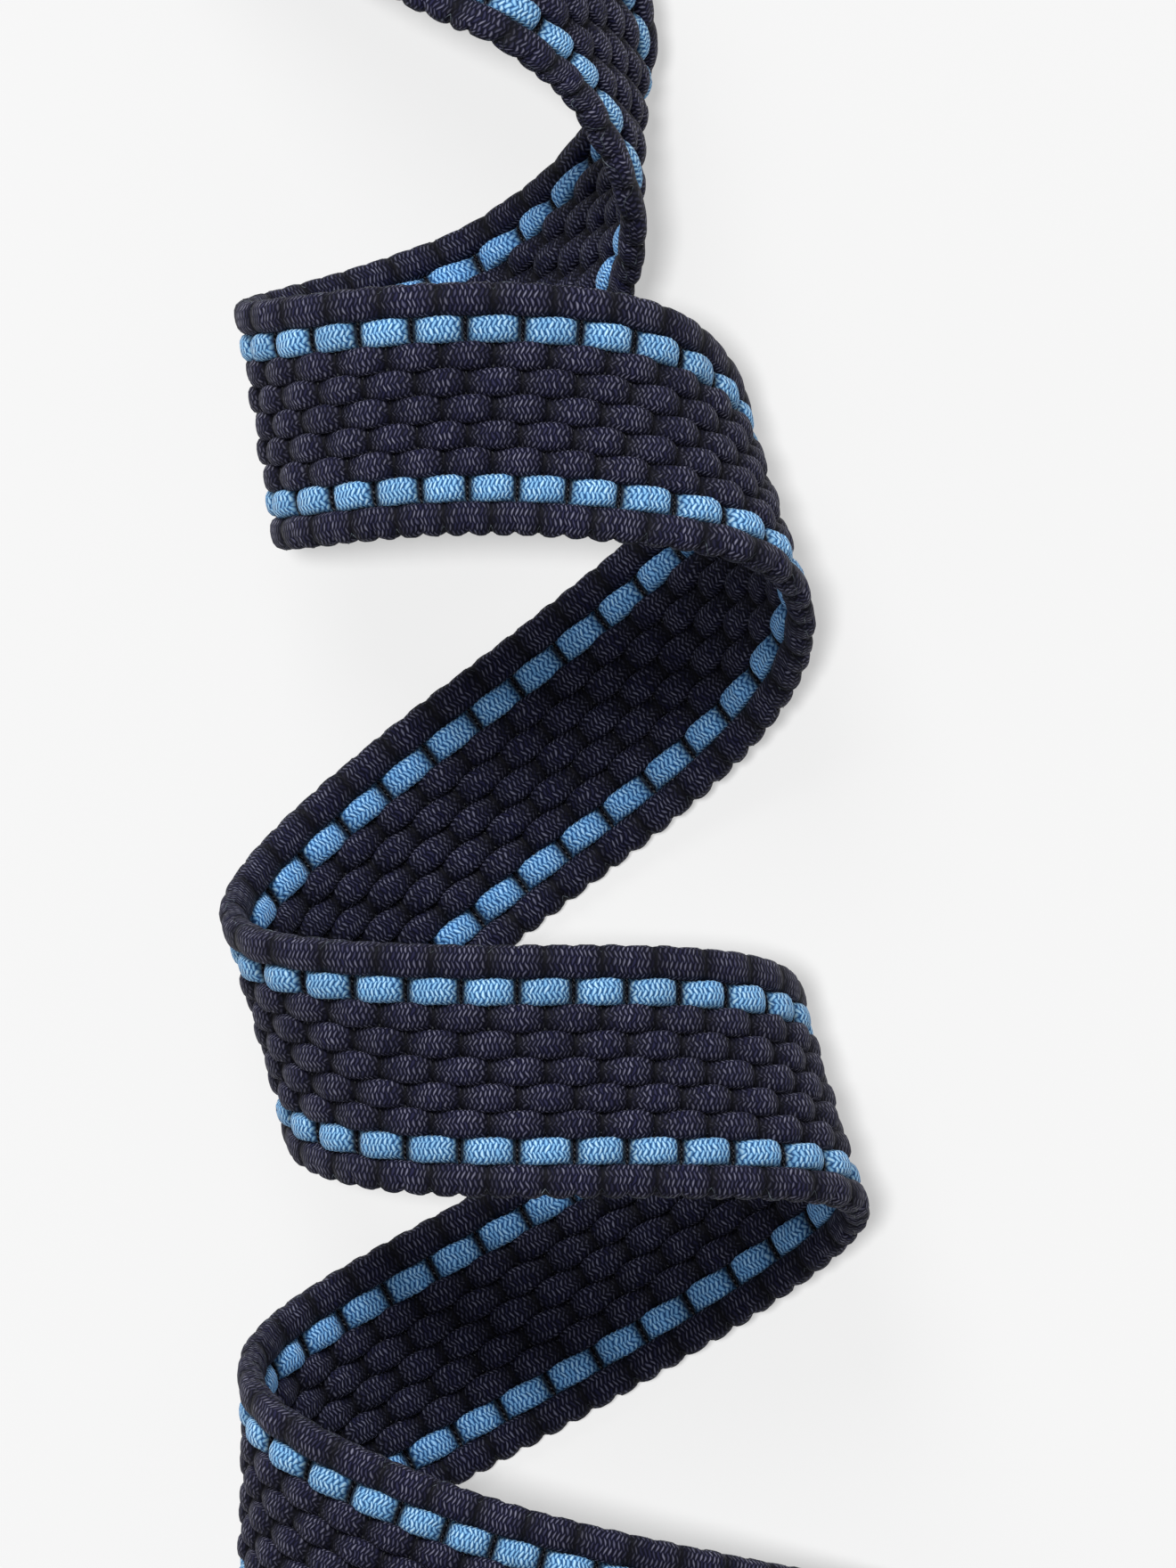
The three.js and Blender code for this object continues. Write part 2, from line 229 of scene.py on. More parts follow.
halfway = on_band(np.array([BAND_LENGTH / 2]), np.zeros(1), np.zeros(1))
print("middle of the band at half its length", halfway)

# %% [markdown]
# ## The weave
# A thin yarn crosses the band every 3.9 mm. Each time it goes over every second cord and under
# the others, and the next time it does the opposite. So each cord is pinched from above at one
# crossing and from below at the next, and swells between. The phase table shifts the crossings
# by small parts of a period, and the skew slants them, as the real yarn does on the inner runs.

# %% Crossings of the yarn
PERIOD = 7.75
# distance along the band in mm, and the shift of the crossings there in periods
PHASES = [(131, 0.59), (213, 0.89), (303, 0.40), (411, 0.36)]
PHASES += [(525, 0.74), (644, 0.55), (751, 0.25)]
# distance along the band in mm, and the slant of the crossings there in mm along per mm across
SKEWS = [(316, 0), (391, 0.07), (466, 0), (564, 0), (634, 0.047), (704, 0)]
CROSSING_WOBBLE = 0.14
SEED = 7
draw = random.Random(SEED)


def from_table(table, s):
    """The table's values at distances s, straight from row to row."""
    return np.interp(s, *zip(*table))


phase_along = LINE_AT / PERIOD - from_table(PHASES, LINE_AT)
first_crossing = math.ceil(phase_along[0] * 2)
last_crossing = math.floor(phase_along[-1] * 2)
numbers = np.arange(first_crossing, last_crossing + 1)
CROSSINGS = np.interp(numbers / 2, phase_along, LINE_AT)
CROSSINGS[1:-1] += [draw.uniform(-CROSSING_WOBBLE, CROSSING_WOBBLE) for _ in numbers[1:-1]]
print(len(CROSSINGS), "crossings")

# %% [markdown]
# ## The cords
# Each cord is an elastic core in a braided jacket. Its cross-section is a soft rectangle whose
# upper and lower halves swell and shrink as the yarn pinches them. A flat grid of faces is
# rolled into a tube along the band: one side of the grid follows the cord, the other goes round
# it. The grid's own UV map stays, so the braid can be drawn along and around each cord later.
#
# Each kind of cord has its own numbers. Half width, top and pinched are the sizes of its
# section in mm, in the middle of a float and in a pinch. Taper narrows the section where it is
# pinched, late moves the fullest place along the float, and power and crease set how steep and
# how sharp a pinch is. Shade, lee and flank say how much painted shade is put in a
# pinch, on the far third of a float and on the flanks. Ripple roughens the sides a little.

# %% Cord sizes
INNER_WIDTH = 3.72
EDGE_WIDTH = 4.6
BAND_WIDTH = 7 * INNER_WIDTH + 2 * EDGE_WIDTH
EDGE_MIDDLE = (BAND_WIDTH - EDGE_WIDTH) / 2
RINGS_PER_GAP = 10
END_RINGS = 8
AROUND = 18
CROWDING = 0.55
BOXY = 0.78
STRIPS_AROUND = 14
TWIST = 0.8
TWIST_LENGTH = 17.0
NUMBERS = "half_width top pinched taper late power crease shade lee flank ripple".split()
EDGE = dict(zip(NUMBERS, (2.3, 2.05, 1.68, 0.2, 1.2, 0.6, 0.01, 0.7, 0.2, 0.3, 0.05)))
BLUE = dict(zip(NUMBERS, (1.95, 1.92, 0.3, 0.3, 1.08, 0.33, 0.09, 0.13, 0.0, 0.6, 0.085)))
NAVY = dict(zip(NUMBERS, (2.02, 1.9, 0.75, 0.72, 1.4, 0.62, 0.01, 0.66, 0.36, 0.4, 0.05)))
CORDS = [
    # name, middle across the band, shape, which crossings pinch it from above
    ("edge_cord_a", -EDGE_MIDDLE, EDGE, 0),
    ("blue_cord_a", -3 * INNER_WIDTH, BLUE, 1),
    ("navy_cord_a", -2 * INNER_WIDTH, NAVY, 0),
    ("navy_cord_b", -1 * INNER_WIDTH, NAVY, 1),
    ("navy_cord_c", 0, NAVY, 0),
    ("navy_cord_d", 1 * INNER_WIDTH, NAVY, 1),
    ("navy_cord_e", 2 * INNER_WIDTH, NAVY, 0),
    ("blue_cord_b", 3 * INNER_WIDTH, BLUE, 1),
    ("edge_cord_b", EDGE_MIDDLE, EDGE, 0),
]
print("the band is", round(BAND_WIDTH, 1), "mm wide")


# %% A tube from a grid
def finished(name, mesh):
    """A smooth-shaded piece from a mesh, riding on the belt's one body."""
    mesh.polygons.foreach_set("use_smooth", [True] * len(mesh.polygons))
    piece = bpy.data.objects.new(name, mesh)
    bpy.context.scene.collection.objects.link(piece)
    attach(piece, "root")
    return piece


def mesh_from(bm, name):
    """The mesh of a bmesh, which is let go after it."""
    mesh = bpy.data.meshes.new(name)
    bm.to_mesh(mesh)
    bm.free()
    return mesh


def add_tube(bm, places, layers=()):
    """A grid rolled through rings of places, with a value for each corner in each layer."""
    rings, around = places.shape[0] - 1, places.shape[1]
    made = bmesh.ops.create_grid(bm, x_segments=rings, y_segments=around, size=0.5, calc_uvs=True)
    for v in made["verts"]:
        i, j = round((v.co.x + 0.5) * rings), round((v.co.y + 0.5) * around) % around
        v.co = places[i, j]
        for layer, values in layers:
            v[layer] = values[i, j]


def closed_mesh(bm, name):
    """The mesh of tubes whose seams are joined and whose ends are filled."""
    bmesh.ops.remove_doubles(bm, verts=bm.verts, dist=1e-7)
    rims = [edge for edge in bm.edges if edge.is_boundary]
    bmesh.ops.holes_fill(bm, edges=rims, sides=0)
    bmesh.ops.recalc_face_normals(bm, faces=bm.faces)
    return mesh_from(bm, name)


def braid_uv(mesh):
    """The mesh's braid map, a row of two numbers for each corner of a face."""
    uv = np.zeros(len(mesh.loops) * 2, np.float32)
    mesh.uv_layers["braid"].data.foreach_get("uv", uv)
    return uv.reshape(-1, 2)


def rolled_grid(name, places, uv_along, uv_around, layers):
    """A closed cord through rings of places, with its UV map and its layers."""
    bm = bmesh.new()
    bm.loops.layers.uv.new("braid")
    add_tube(bm, places, [(bm.verts.layers.float.new(key), layers[key]) for key in layers])
    mesh = closed_mesh(bm, name)
    rings = places.shape[0] - 1
    uv = braid_uv(mesh)
    uv[:, 0] = np.interp(uv[:, 0] * rings, np.arange(rings + 1), uv_along)
    uv[:, 1] = uv[:, 1] * uv_around + TWIST * np.sin(uv[:, 0] / TWIST_LENGTH)
    mesh.uv_layers["braid"].data.foreach_set("uv", uv.ravel())
    return finished(name, mesh)


# %% [markdown]
# ### Swelling and pinching
# A float lasts from one pinch to the next on its own side of the band, and its phase goes from
# 0 to 1 on the way. A root of a sine rises steeply from the pinch and is nearly flat over the
# float, which gives the barrel shape with a sharp crease at each end. The edge cords are pulled
# in from outside at every crossing, because the yarn turns round them there: that makes the
# scalloped outline. In the photo the notches are full at the lower outlines and shallow at the
# upper ones, and the script follows that. The painted shade of a corner says how dark it is
# painted where shade falls: 1 down in a pinch, a share of it on the flanks between cords, and, as
# lee, a share on the far third of a float. It is painted on, whatever the light.

# %% The cord's section
def soft_rectangle(count):
    """Corners of a rounded square of half size 1, evenly spaced round its outline."""
    turn = np.linspace(0, 2 * np.pi, 721)
    cos, sin = (np.sign(f(turn)) * np.abs(f(turn)) ** BOXY for f in (np.cos, np.sin))
    reach = np.concatenate([[0], np.cumsum(np.hypot(np.diff(cos), np.diff(sin)))])
    at = np.arange(count) / count * reach[-1]
    return np.interp(at, reach, cos), np.interp(at, reach, sin)


ROUND = soft_rectangle(AROUND)
print("corners round a cord", len(ROUND[0]))

# %% Swells, notches and chance
FULLEST = 0.14
TAPER_POWER = 0.6
RIPPLE_LENGTH = 0.97
SLIP = 0.16
EDGE_FULLNESS = 0.15
SCALLOP = 0.64
NOTCH_POWER = 0.5
NOTCH_CREASE = 0.03
NECK = 0.24
NECK_POWER = 0.5
UPPER_SMOOTHNESS = 0.72
CORD_WOBBLE = 0.1
CORD_SIZES = (0.94, 1.05)
BEAT_WOBBLE = 0.2
WAIST = 0.35
WAIST_LIMIT = 0.3
# where along a float the painted lee shade lies, and how far round a cord the painted flank shade
# reaches
LEE_START, LEE_END = 0.58, 0.86
FLANK_START, FLANK_END = 0.1, 0.8
FRONT_BLEND = 0.8
INNER_BLEND = 2


def swelling(phase, power, crease):
    """0 in the crease of a pinch (phase 0 and 1) and 1 in the middle of a float (phase 0.5)."""
    low = math.sin(math.pi * crease)
    return np.clip((np.sin(np.pi * np.clip(phase, 0, 1)) - low) / (1 - low), 0, 1) ** power


def ramp(values, low, high):
    """A soft step from 0 at low to 1 at high."""
    t = np.clip((values - low) / (high - low), 0, 1)
    return t * t * (3 - 2 * t)


def notch_depth(share, along, side):
    """How deep an edge is notched: full at the photo's lower outlines, shallow at upper ones."""
    upward = unit(smooth_at(LINE_WIDTHS, along))[:, 1] * side
    shallower = 1 - UPPER_SMOOTHNESS * ramp(upward, -0.5, 0.5)
    return (1 - swelling(share, NOTCH_POWER, NOTCH_CREASE)) * shallower


def chances(low, high):
    """A random number for each crossing."""
    return np.array([draw.uniform(low, high) for _ in CROSSINGS])


print("a notch is at most", SCALLOP, "mm deep")


# %% Rings of a cord
def ring_line(own):
    """For each ring of a cord: its distance, its share of the gap it is in, and the gap."""
    even = np.arange(RINGS_PER_GAP) / RINGS_PER_GAP
    eased = even - CROWDING * np.sin(2 * np.pi * even) / (2 * np.pi)
    gaps = len(own) - 1
    along = (own[:-1, None] + np.diff(own)[:, None] * eased).ravel()
    head = np.linspace(0, along[0], END_RINGS)[:-1]
    tail = np.linspace(own[-1], BAND_LENGTH, END_RINGS)
    share = [head * 0 + 0.5, np.tile(eased, gaps), tail * 0 + 0.5]
    gap = [head * 0, np.repeat(np.arange(gaps), RINGS_PER_GAP), tail * 0 + gaps - 1]
    along = np.concatenate([head, along, tail])
    return along, np.concatenate(share), np.concatenate(gap).astype(int)


def rings_of(offset, shape, parity, outer):
    """A cord's rings of places, and each corner's painted shade, tone and how far inside it is.
    """
    own = CROSSINGS + chances(-CORD_WOBBLE, CORD_WOBBLE) + from_table(SKEWS, CROSSINGS) * offset
    along, share, gap = ring_line(own)
    from_front = (gap + first_crossing + parity) % 2 == 0
    front_phase = np.where(from_front, share / 2, 0.5 + share / 2)
    back_phase = np.where(from_front, 0.5 + share / 2, share / 2)
    phases = (front_phase, back_phase)
    pinched, power, crease, late = (shape[key] for key in ("pinched", "power", "crease", "late"))
    rise = shape["top"] * chances(*CORD_SIZES)[gap] - pinched
    front, back = (pinched + rise * swelling(phase**late, power, crease) for phase in phases)

    # half widths: narrower in a pinch, rippled, slipped aside, and notched at the band's edge
    cos, sin = ROUND
    up = np.clip(0.5 + FRONT_BLEND * sin, 0, 1)[None, :]
    taper_front, taper_back = (
        shape["taper"] - (shape["taper"] + FULLEST) * swelling(phase**late, TAPER_POWER, crease)
        for phase in phases
    )
    taper = np.where(sin > 0, taper_front[:, None], taper_back[:, None])
    width = shape["half_width"] * (1 - sin**2 * taper)
    slip_front, slip_back = (np.sin(2 * np.pi * phase)[:, None] for phase in phases)
    slip = up * slip_front + (1 - up) * slip_back
    beat = along / RIPPLE_LENGTH + chances(-BEAT_WOBBLE, BEAT_WOBBLE)[gap]
    width += shape["ripple"] * cos**2 * np.sin(2 * np.pi * (beat[:, None] + 0.5 * (cos > 0)))
    if outer:
        depth = notch_depth(share, along, outer)[:, None]
        outside = (np.sign(cos) == outer)[None, :]
        width = np.where(outside, shape["half_width"] + EDGE_FULLNESS - depth * SCALLOP, width)

    # heights over the band's middle
    low = WAIST_LIMIT * np.minimum(front, back)
    waist = np.clip(WAIST * (front - back), -low, low)[:, None]
    upper = waist + (front[:, None] - waist) * sin
    lower = waist + (back[:, None] + waist) * sin
    above = np.where(sin > 0, upper, lower)
    if outer:
        above *= 1 - NECK * depth * np.clip(cos * outer, 0, 1) ** NECK_POWER
    sideways = offset + width * cos + (0 if outer else SLIP) * slip
    places = on_band(np.repeat(along[:, None], AROUND, 1), sideways, above)

    # what the materials read at each corner: painted shade, a tone and the inner side
    painted_shade_front, painted_shade_back = (
        np.maximum(
            1 - swelling(phase**late, shape["shade"], crease),
            shape["lee"] * ramp(phase, LEE_START, LEE_END),
        )
        for phase in phases
    )
    painted_shade = up * painted_shade_front[:, None] + (1 - up) * painted_shade_back[:, None]
    painted_shade = np.maximum(painted_shade, shape["flank"] * (1 - ramp(np.abs(sin), FLANK_START, FLANK_END)))
    tones = np.array([draw.random() for _ in range(len(own) + 2)])
    floats = (gap + first_crossing + parity) // 2 % len(tones)
    tone = np.repeat(tones[floats][:, None], AROUND, 1)
    inner = np.repeat(np.clip(0.5 - INNER_BLEND * sin, 0, 1)[None, :], len(along), 0)
    return places, along, {"painted_shade": painted_shade, "tone": tone, "inner": inner}


cords = {}
for name, offset, shape, parity in CORDS:
    outer = np.sign(offset) if name.startswith("edge") else 0
    places, along, layers = rings_of(offset, shape, parity, outer)
    cords[name] = rolled_grid(name, places, along, STRIPS_AROUND, layers)
    print(name, len(cords[name].data.polygons), "faces")

# %% [markdown]
# ## The crossing yarn
# It is thin and almost hidden: it shows only as a dark thread in each pinch. One grid for each
# crossing is rolled into a thread that rises over the cords it pinches and dives under the rest.

# %% Crossing yarn
YARN_HALF_WIDTH = 0.22
YARN_HALF_DEPTH = 0.22
YARN_AROUND = 6
STEPS_PER_CORD = 5
YARN_HEIGHT = 0.36
EDGE_YARN_HEIGHT = 1.2
YARN_INSET = 0.35
YARN_ROUNDNESS = 0.6

between = [(CORDS[i][1] + CORDS[i + 1][1]) / 2 for i in range(len(CORDS) - 1)]
edges = np.array([-BAND_WIDTH / 2 + YARN_INSET, *between, BAND_WIDTH / 2 - YARN_INSET])


def yarn_places(k):
    """Rings of the yarn at crossing k, from one edge of the band to the other."""
    number = first_crossing + k
    sideways, above = [], []
    for c, (name, offset, shape, parity) in enumerate(CORDS):
        over = 1 if (number + parity) % 2 == 0 else -1
        height = EDGE_YARN_HEIGHT if name.startswith("edge") else YARN_HEIGHT
        steps = np.arange(STEPS_PER_CORD + (c == len(CORDS) - 1)) / STEPS_PER_CORD
        sideways.append(edges[c] + (edges[c + 1] - edges[c]) * steps)
        above.append(over * height * np.sin(np.pi * steps) ** YARN_ROUNDNESS)
    sideways, above = np.concatenate(sideways), np.concatenate(above)
    along = CROSSINGS[k] + from_table(SKEWS, CROSSINGS[k]) * sideways
    turn = 2 * np.pi * np.arange(YARN_AROUND) / YARN_AROUND
    along = along[:, None] + YARN_HALF_WIDTH * np.cos(turn)
    above = above[:, None] + YARN_HALF_DEPTH * np.sin(turn)
    return on_band(along, np.repeat(sideways[:, None], YARN_AROUND, 1), above)


def thread_mesh(name, threads, uv_scale):
    """One mesh of closed tubes, each from its rings of places."""
    bm = bmesh.new()
    bm.loops.layers.uv.new("braid")
    for places in threads:
        add_tube(bm, places)
    mesh = closed_mesh(bm, name)
    uv = braid_uv(mesh) * uv_scale
    mesh.uv_layers["braid"].data.foreach_set("uv", uv.ravel())
    return mesh


crossing_threads = [yarn_places(k) for k in range(1, len(CROSSINGS) - 1)]
crossing_mesh = thread_mesh("crossing_yarn", crossing_threads, (BAND_WIDTH, 3))
crossing_yarn = finished("crossing_yarn", crossing_mesh)
print("crossing yarn", len(crossing_yarn.data.polygons), "faces")

# %% [markdown]
# ### The lock thread
# A fine pale thread runs along each edge and keeps the crossing yarn from slipping out. It lies
# on the outer side of the edge cord and hops over it at every crossing, in front and behind by
# turns, which leaves a small pale V in each notch, pale partly from the thread's colour and
# partly from painted highlights.

# %% Lock threads
LOCK_RADIUS = 0.075
LOCK_SIDES = 4
LOCK_STEPS = 9
LOCK_HOP = math.radians(60)
HOP_LENGTHS = (0.45, 1.0)
LOCK_BOWS = (-0.35, 0.5)
LOCK_CLEARANCE = 0.17
LOCK_HEIGHT = 0.9


def lock_places(side):
    """Rings of the lock thread along one edge of the band."""
    own = CROSSINGS + from_table(SKEWS, CROSSINGS) * side * BAND_WIDTH / 2
    k = np.arange((len(own) - 1) * LOCK_STEPS + 1) / LOCK_STEPS
    along = np.interp(k, np.arange(len(own)), own)
    near = np.round(k).astype(int)
    over = np.where((near + first_crossing) % 2 == 0, 1, -1)
    spread = chances(*HOP_LENGTHS)[near]
    bow = chances(*LOCK_BOWS)[np.floor(k).astype(int)] * np.sin(np.pi * k) ** 2
    turn = over * LOCK_HOP * np.exp(-(((along - own[near]) / spread) ** 2)) + bow
    notch = SCALLOP * notch_depth(k % 1, along, side)
    radial = np.stack([0 * turn, side * np.cos(turn), np.sin(turn)], axis=1)
    width = (EDGE["half_width"] + LOCK_CLEARANCE - notch) * np.abs(np.cos(turn)) ** BOXY
    height = EDGE["pinched"] * LOCK_HEIGHT * np.sign(turn) * np.abs(np.sin(turn)) ** BOXY
    path = np.stack([along, side * (EDGE_MIDDLE + width), height], axis=1)
    travel = unit(np.gradient(path, axis=0))
    beside = unit(np.cross(travel, radial))
    outward = np.cross(beside, travel)
    turns = 2 * np.pi / LOCK_SIDES * np.arange(LOCK_SIDES)[:, None]
    spokes = np.cos(turns) * outward[:, None] + np.sin(turns) * beside[:, None]
    rings = path[:, None] + LOCK_RADIUS * spokes
    return on_band(rings[..., 0], rings[..., 1], rings[..., 2])


lock_mesh = thread_mesh("lock_threads", [lock_places(side) for side in (-1, 1)], (BAND_LENGTH, 1))
lock_threads = finished("lock_threads", lock_mesh)
print("lock threads", len(lock_threads.data.polygons), "faces")

# %% [markdown]
# ## The leather and the buckle
# The tab, the tip and the buckle have the right shape in the CAD model, but its edges are knife
# sharp. So each gets a copy of its mesh: the loose triangles are merged, flat regions are joined
# into single faces, and every sharp edge is rounded. Cuts along and across the piece give it
# corners to hold "rim", which fades from 1 at an edge to 0 a little way in and marks where a
# piece wears. The cuts follow the piece's own direction, so the faces of a rail stay alike.

# %% Softened copies
TAB_ORIGIN, TIP_ORIGIN = (LINE_POINTS[i][:2] - np.array(CENTRE) / MM for i in (0, -1))
TAB_TURN = math.atan2(*(LINE_POINTS[0] - LINE_POINTS[1])[1::-1])
TIP_TURN = math.atan2(*(LINE_POINTS[-1] - LINE_POINTS[-2])[1::-1])
FLAT_ANGLE = math.radians(1.5)
SHARP_ANGLE = math.radians(32)
MARKS_PER_EDGE = 8
# how far an edge is rounded, how far its wear reaches, and the distance between cuts
LEATHER_EDGES = (0.45 * MM, 2.2 * MM, 1.6 * MM)
METAL_EDGES = (0.2 * MM, 0.8 * MM, 3.0 * MM)


def softened(name, node, turn, rounding, rim_width, cut):
    """A smooth copy of a CAD node with rounded edges that replaces the node."""
    bm = bmesh.new()
    bm.from_mesh(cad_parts[node].data)
    bmesh.ops.remove_doubles(bm, verts=bm.verts, dist=1e-6)
    bmesh.ops.dissolve_limit(bm, angle_limit=FLAT_ANGLE, verts=bm.verts, edges=bm.edges)
    sharp = [edge for edge in bm.edges if edge.calc_face_angle(0) > SHARP_ANGLE]
    marks = []
    for edge in sharp:
        a, b = (v.co.copy() for v in edge.verts)
        marks += [a.lerp(b, t / MARKS_PER_EDGE) for t in range(MARKS_PER_EDGE + 1)]
    rounded = {"segments": 3, "profile": 0.5, "affect": "EDGES", "clamp_overlap": True}
    bmesh.ops.bevel(bm, geom=sharp, offset=rounding, material=-1, **rounded)
    for angle in (turn, turn + math.pi / 2):
        normal = Vector((math.cos(angle), math.sin(angle), 0))
        reach = [v.co @ normal for v in bm.verts]
        for k in range(1, int((max(reach) - min(reach)) / cut)):
            place = normal * (min(reach) + cut * k)
            whole = [*bm.verts, *bm.edges, *bm.faces]
            bmesh.ops.bisect_plane(bm, geom=whole, dist=1e-7, plane_co=place, plane_no=normal)
    near = KDTree(len(marks))
    for i, mark in enumerate(marks):
        near.insert(mark, i)
    near.balance()
    rim = bm.verts.layers.float.new("rim")
    for v in bm.verts:
        v[rim] = max(0, 1 - near.find(v.co)[2] / rim_width)
    piece = finished(name, mesh_from(bm, name))
    even = piece.modifiers.new("even_shading", "WEIGHTED_NORMAL")
    even.mode = "FACE_AREA"
    even.weight = 60
    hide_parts(node)
    print(name, len(piece.data.polygons), "faces")
    return piece


tab_leather = softened("tab_leather", "buckle_tab", TAB_TURN, *LEATHER_EDGES)
tip_leather = softened("tip_leather", "end_tip", TIP_TURN, *LEATHER_EDGES)
buckle_metal_piece = softened("buckle_frame_and_prong", "buckle", TAB_TURN, *METAL_EDGES)

# %% [markdown]
# ### Stitches
# Waxed thread holds the two layers of leather together a little inside their edge. A stitch is a
# small stretched ball that dips into the leather at both ends. Each is a few dozen faces, laid
# one after the other along the seam, and they all end up in one mesh. The numbers that follow
# are in the piece's own mm: x runs along the band and out of its end, y across it.

# %% Seams
STITCH_LENGTH = 2.3
STITCH_PITCH = 3.0
STITCH_SHAPE = (0.95, 0.8, STITCH_LENGTH)
STITCH_LIFT = 0.12
STITCH_FACES = 40
SEAM_INSET = 2.6
LEATHER_HALF_WIDTH = 18
LEATHER_BACK = -24
TAB_SEAM_START = 5
NOSE_START, NOSE_END = 15, 34
SLOPE_START, SLOPE_END = 0.3, 13
UPPER_FACE, NOSE_FACE = 8.0, 3.4


def seam_corners(corners, close):
    """Evenly spaced places and directions along a line through corners, in the piece's own mm."""
    line = np.array(corners + (corners[:1] if close else []), float)
    reach = np.concatenate([[0], np.cumsum(np.linalg.norm(np.diff(line, axis=0), axis=1))])
    count = round(reach[-1] / STITCH_PITCH)
    at = (np.arange(count) + 0.5) * reach[-1] / count
    before, after = (
        np.stack([np.interp(at + step, reach, column) for column in line.T], 1)
        for step in (-0.3, 0.3)
    )
    return (before + after) / 2, unit(after - before)


def turned(bm, verts, angle, axis):
    """Turns corners round an axis through the middle."""
    matrix = Matrix.Rotation(angle, 3, axis)
    bmesh.ops.rotate(bm, verts=verts, cent=(0, 0, 0), matrix=matrix)


def stitched_seam(name, corners, height, origin, turn, close=False):
    """A row of stitches over a piece's upper face, whose height is a function of x."""
    bm = bmesh.new()
    for (x, y), (dx, dy) in zip(*seam_corners(corners, close)):
        ball = bmesh.ops.create_uvsphere(bm, u_segments=8, v_segments=5, radius=0.5 * MM)["verts"]
        bmesh.ops.scale(bm, verts=ball, vec=STITCH_SHAPE)
        turned(bm, ball, math.pi / 2, "Y")
        turned(bm, ball, -math.atan2(height(x + dx) - height(x), 1), "Y")
        turned(bm, ball, math.atan2(dy, dx), "Z")
        place = Vector((x, y, height(x) + STITCH_LIFT)) * MM
        bmesh.ops.translate(bm, verts=ball, vec=place)
    turned(bm, bm.verts, turn, "Z")
    bmesh.ops.translate(bm, verts=bm.verts, vec=(origin[0] * MM, origin[1] * MM, 0))
    return finished(name, mesh_from(bm, name))


def slope_height(x):
    """Height of the tip's upper face, which slopes from the band's thickness to the nose."""
    t = min(max((x - SLOPE_START) / (SLOPE_END - SLOPE_START), 0), 1)
    return UPPER_FACE - (UPPER_FACE - NOSE_FACE) * (3 * t**2 - 2 * t**3)


side = LEATHER_HALF_WIDTH - SEAM_INSET
back = LEATHER_BACK + SEAM_INSET
reach = NOSE_END - SEAM_INSET - NOSE_START
tab_line = [(TAB_SEAM_START, side), (back, side), (back, -side), (TAB_SEAM_START, -side)]
turns = np.linspace(0, math.pi, 13)
nose = [(NOSE_START + reach * math.sin(a), side * math.cos(a)) for a in turns]
tip_line = [(back, side), *nose, (back, -side)]
tab_seam = stitched_seam("tab_seam", tab_line, lambda x: UPPER_FACE, TAB_ORIGIN, TAB_TURN)
tip_seam = stitched_seam("tip_seam", tip_line, slope_height, TIP_ORIGIN, TIP_TURN, close=True)
stitches = [len(seam.data.polygons) // STITCH_FACES for seam in (tab_seam, tip_seam)]
print("stitches in the tab and the tip", stitches)

# %% [markdown]
# ## Materials
# A braid's look comes from short slanted strands in rows along the cord. The slant turns back
# and forth from one row to the next, as in a herringbone, every second row is shifted by half
# a strand, and the ends of each row are tucked between the strands of the next. A node group
# works this out once from the UV map, and each kind of yarn uses it with its own colours.

# %% Node helpers
def new_group(name, inputs, outputs):
    """An empty node group with its named sockets, and its input and output nodes."""
    group = bpy.data.node_groups.new(name, "ShaderNodeTree")
    for label, kind, default in inputs:
        socket = group.interface.new_socket(label, in_out="INPUT", socket_type=kind)
        if default is not None:
            socket.default_value = default
    for label, kind in outputs:
        group.interface.new_socket(label, in_out="OUTPUT", socket_type=kind)
    return group, group.nodes.new("NodeGroupInput"), group.nodes.new("NodeGroupOutput")


def math_node(tree, operation, *values, clamp=False):
    """A Math node fed with sockets or plain numbers. Returns its output socket."""
    node = tree.nodes.new("ShaderNodeMath")
    node.operation = operation
    node.use_clamp = clamp
    for socket, value in zip(node.inputs, values):
        if isinstance(value, (int, float)):
            socket.default_value = value
        else:
            tree.links.new(value, socket)
    return node.outputs[0]


def mix_colours(tree, factor, a, b, blend="MIX"):
    """A Mix node for colours. Returns its output socket."""
    node = tree.nodes.new("ShaderNodeMix")
    node.data_type = "RGBA"
    node.blend_type = blend
    for socket, value in zip((node.inputs[0], node.inputs[6], node.inputs[7]), (factor, a, b)):
        if isinstance(value, bpy.types.NodeSocket):
            tree.links.new(value, socket)
        elif isinstance(value, (int, float)):
            socket.default_value = value
        else:
            socket.default_value = (*value, 1)
    return node.outputs[2]


def noise(tree, vector, scale, detail=2.0, roughness=0.5):
    """A Noise Texture on a vector. Returns its value socket."""
    node = tree.nodes.new("ShaderNodeTexNoise")
    node.inputs["Scale"].default_value = scale
    node.inputs["Detail"].default_value = detail
    node.inputs["Roughness"].default_value = roughness
    tree.links.new(vector, node.inputs["Vector"])
    return node.outputs[0]


def new_material(name):
    """A material with its node tree, its shader and the socket of places on the piece."""
    material = bpy.data.materials.new(name)
    material.use_nodes = True
    tree = material.node_tree
    place = tree.nodes.new("ShaderNodeTexCoord").outputs["Object"]
    return material, tree, tree.nodes["Principled BSDF"], place


def attribute(tree, name):
    """The value that a piece's corners hold under a name."""
    node = tree.nodes.new("ShaderNodeAttribute")
    node.attribute_name = name
    return node.outputs["Fac"]


def wave(tree, operation, value, rate=math.pi):
    """The sine or cosine of a value. At the plain rate a whole number is half a turn."""
    return math_node(tree, operation, math_node(tree, "MULTIPLY", value, rate))


def bumped(tree, shader, height, strength, distance):
    """Roughens the shader's surface by a height."""
    bump = tree.nodes.new("ShaderNodeBump")
    bump.inputs["Strength"].default_value = strength
    bump.inputs["Distance"].default_value = distance
    tree.links.new(height, bump.inputs["Height"])
    tree.links.new(bump.outputs[0], shader.inputs["Normal"])


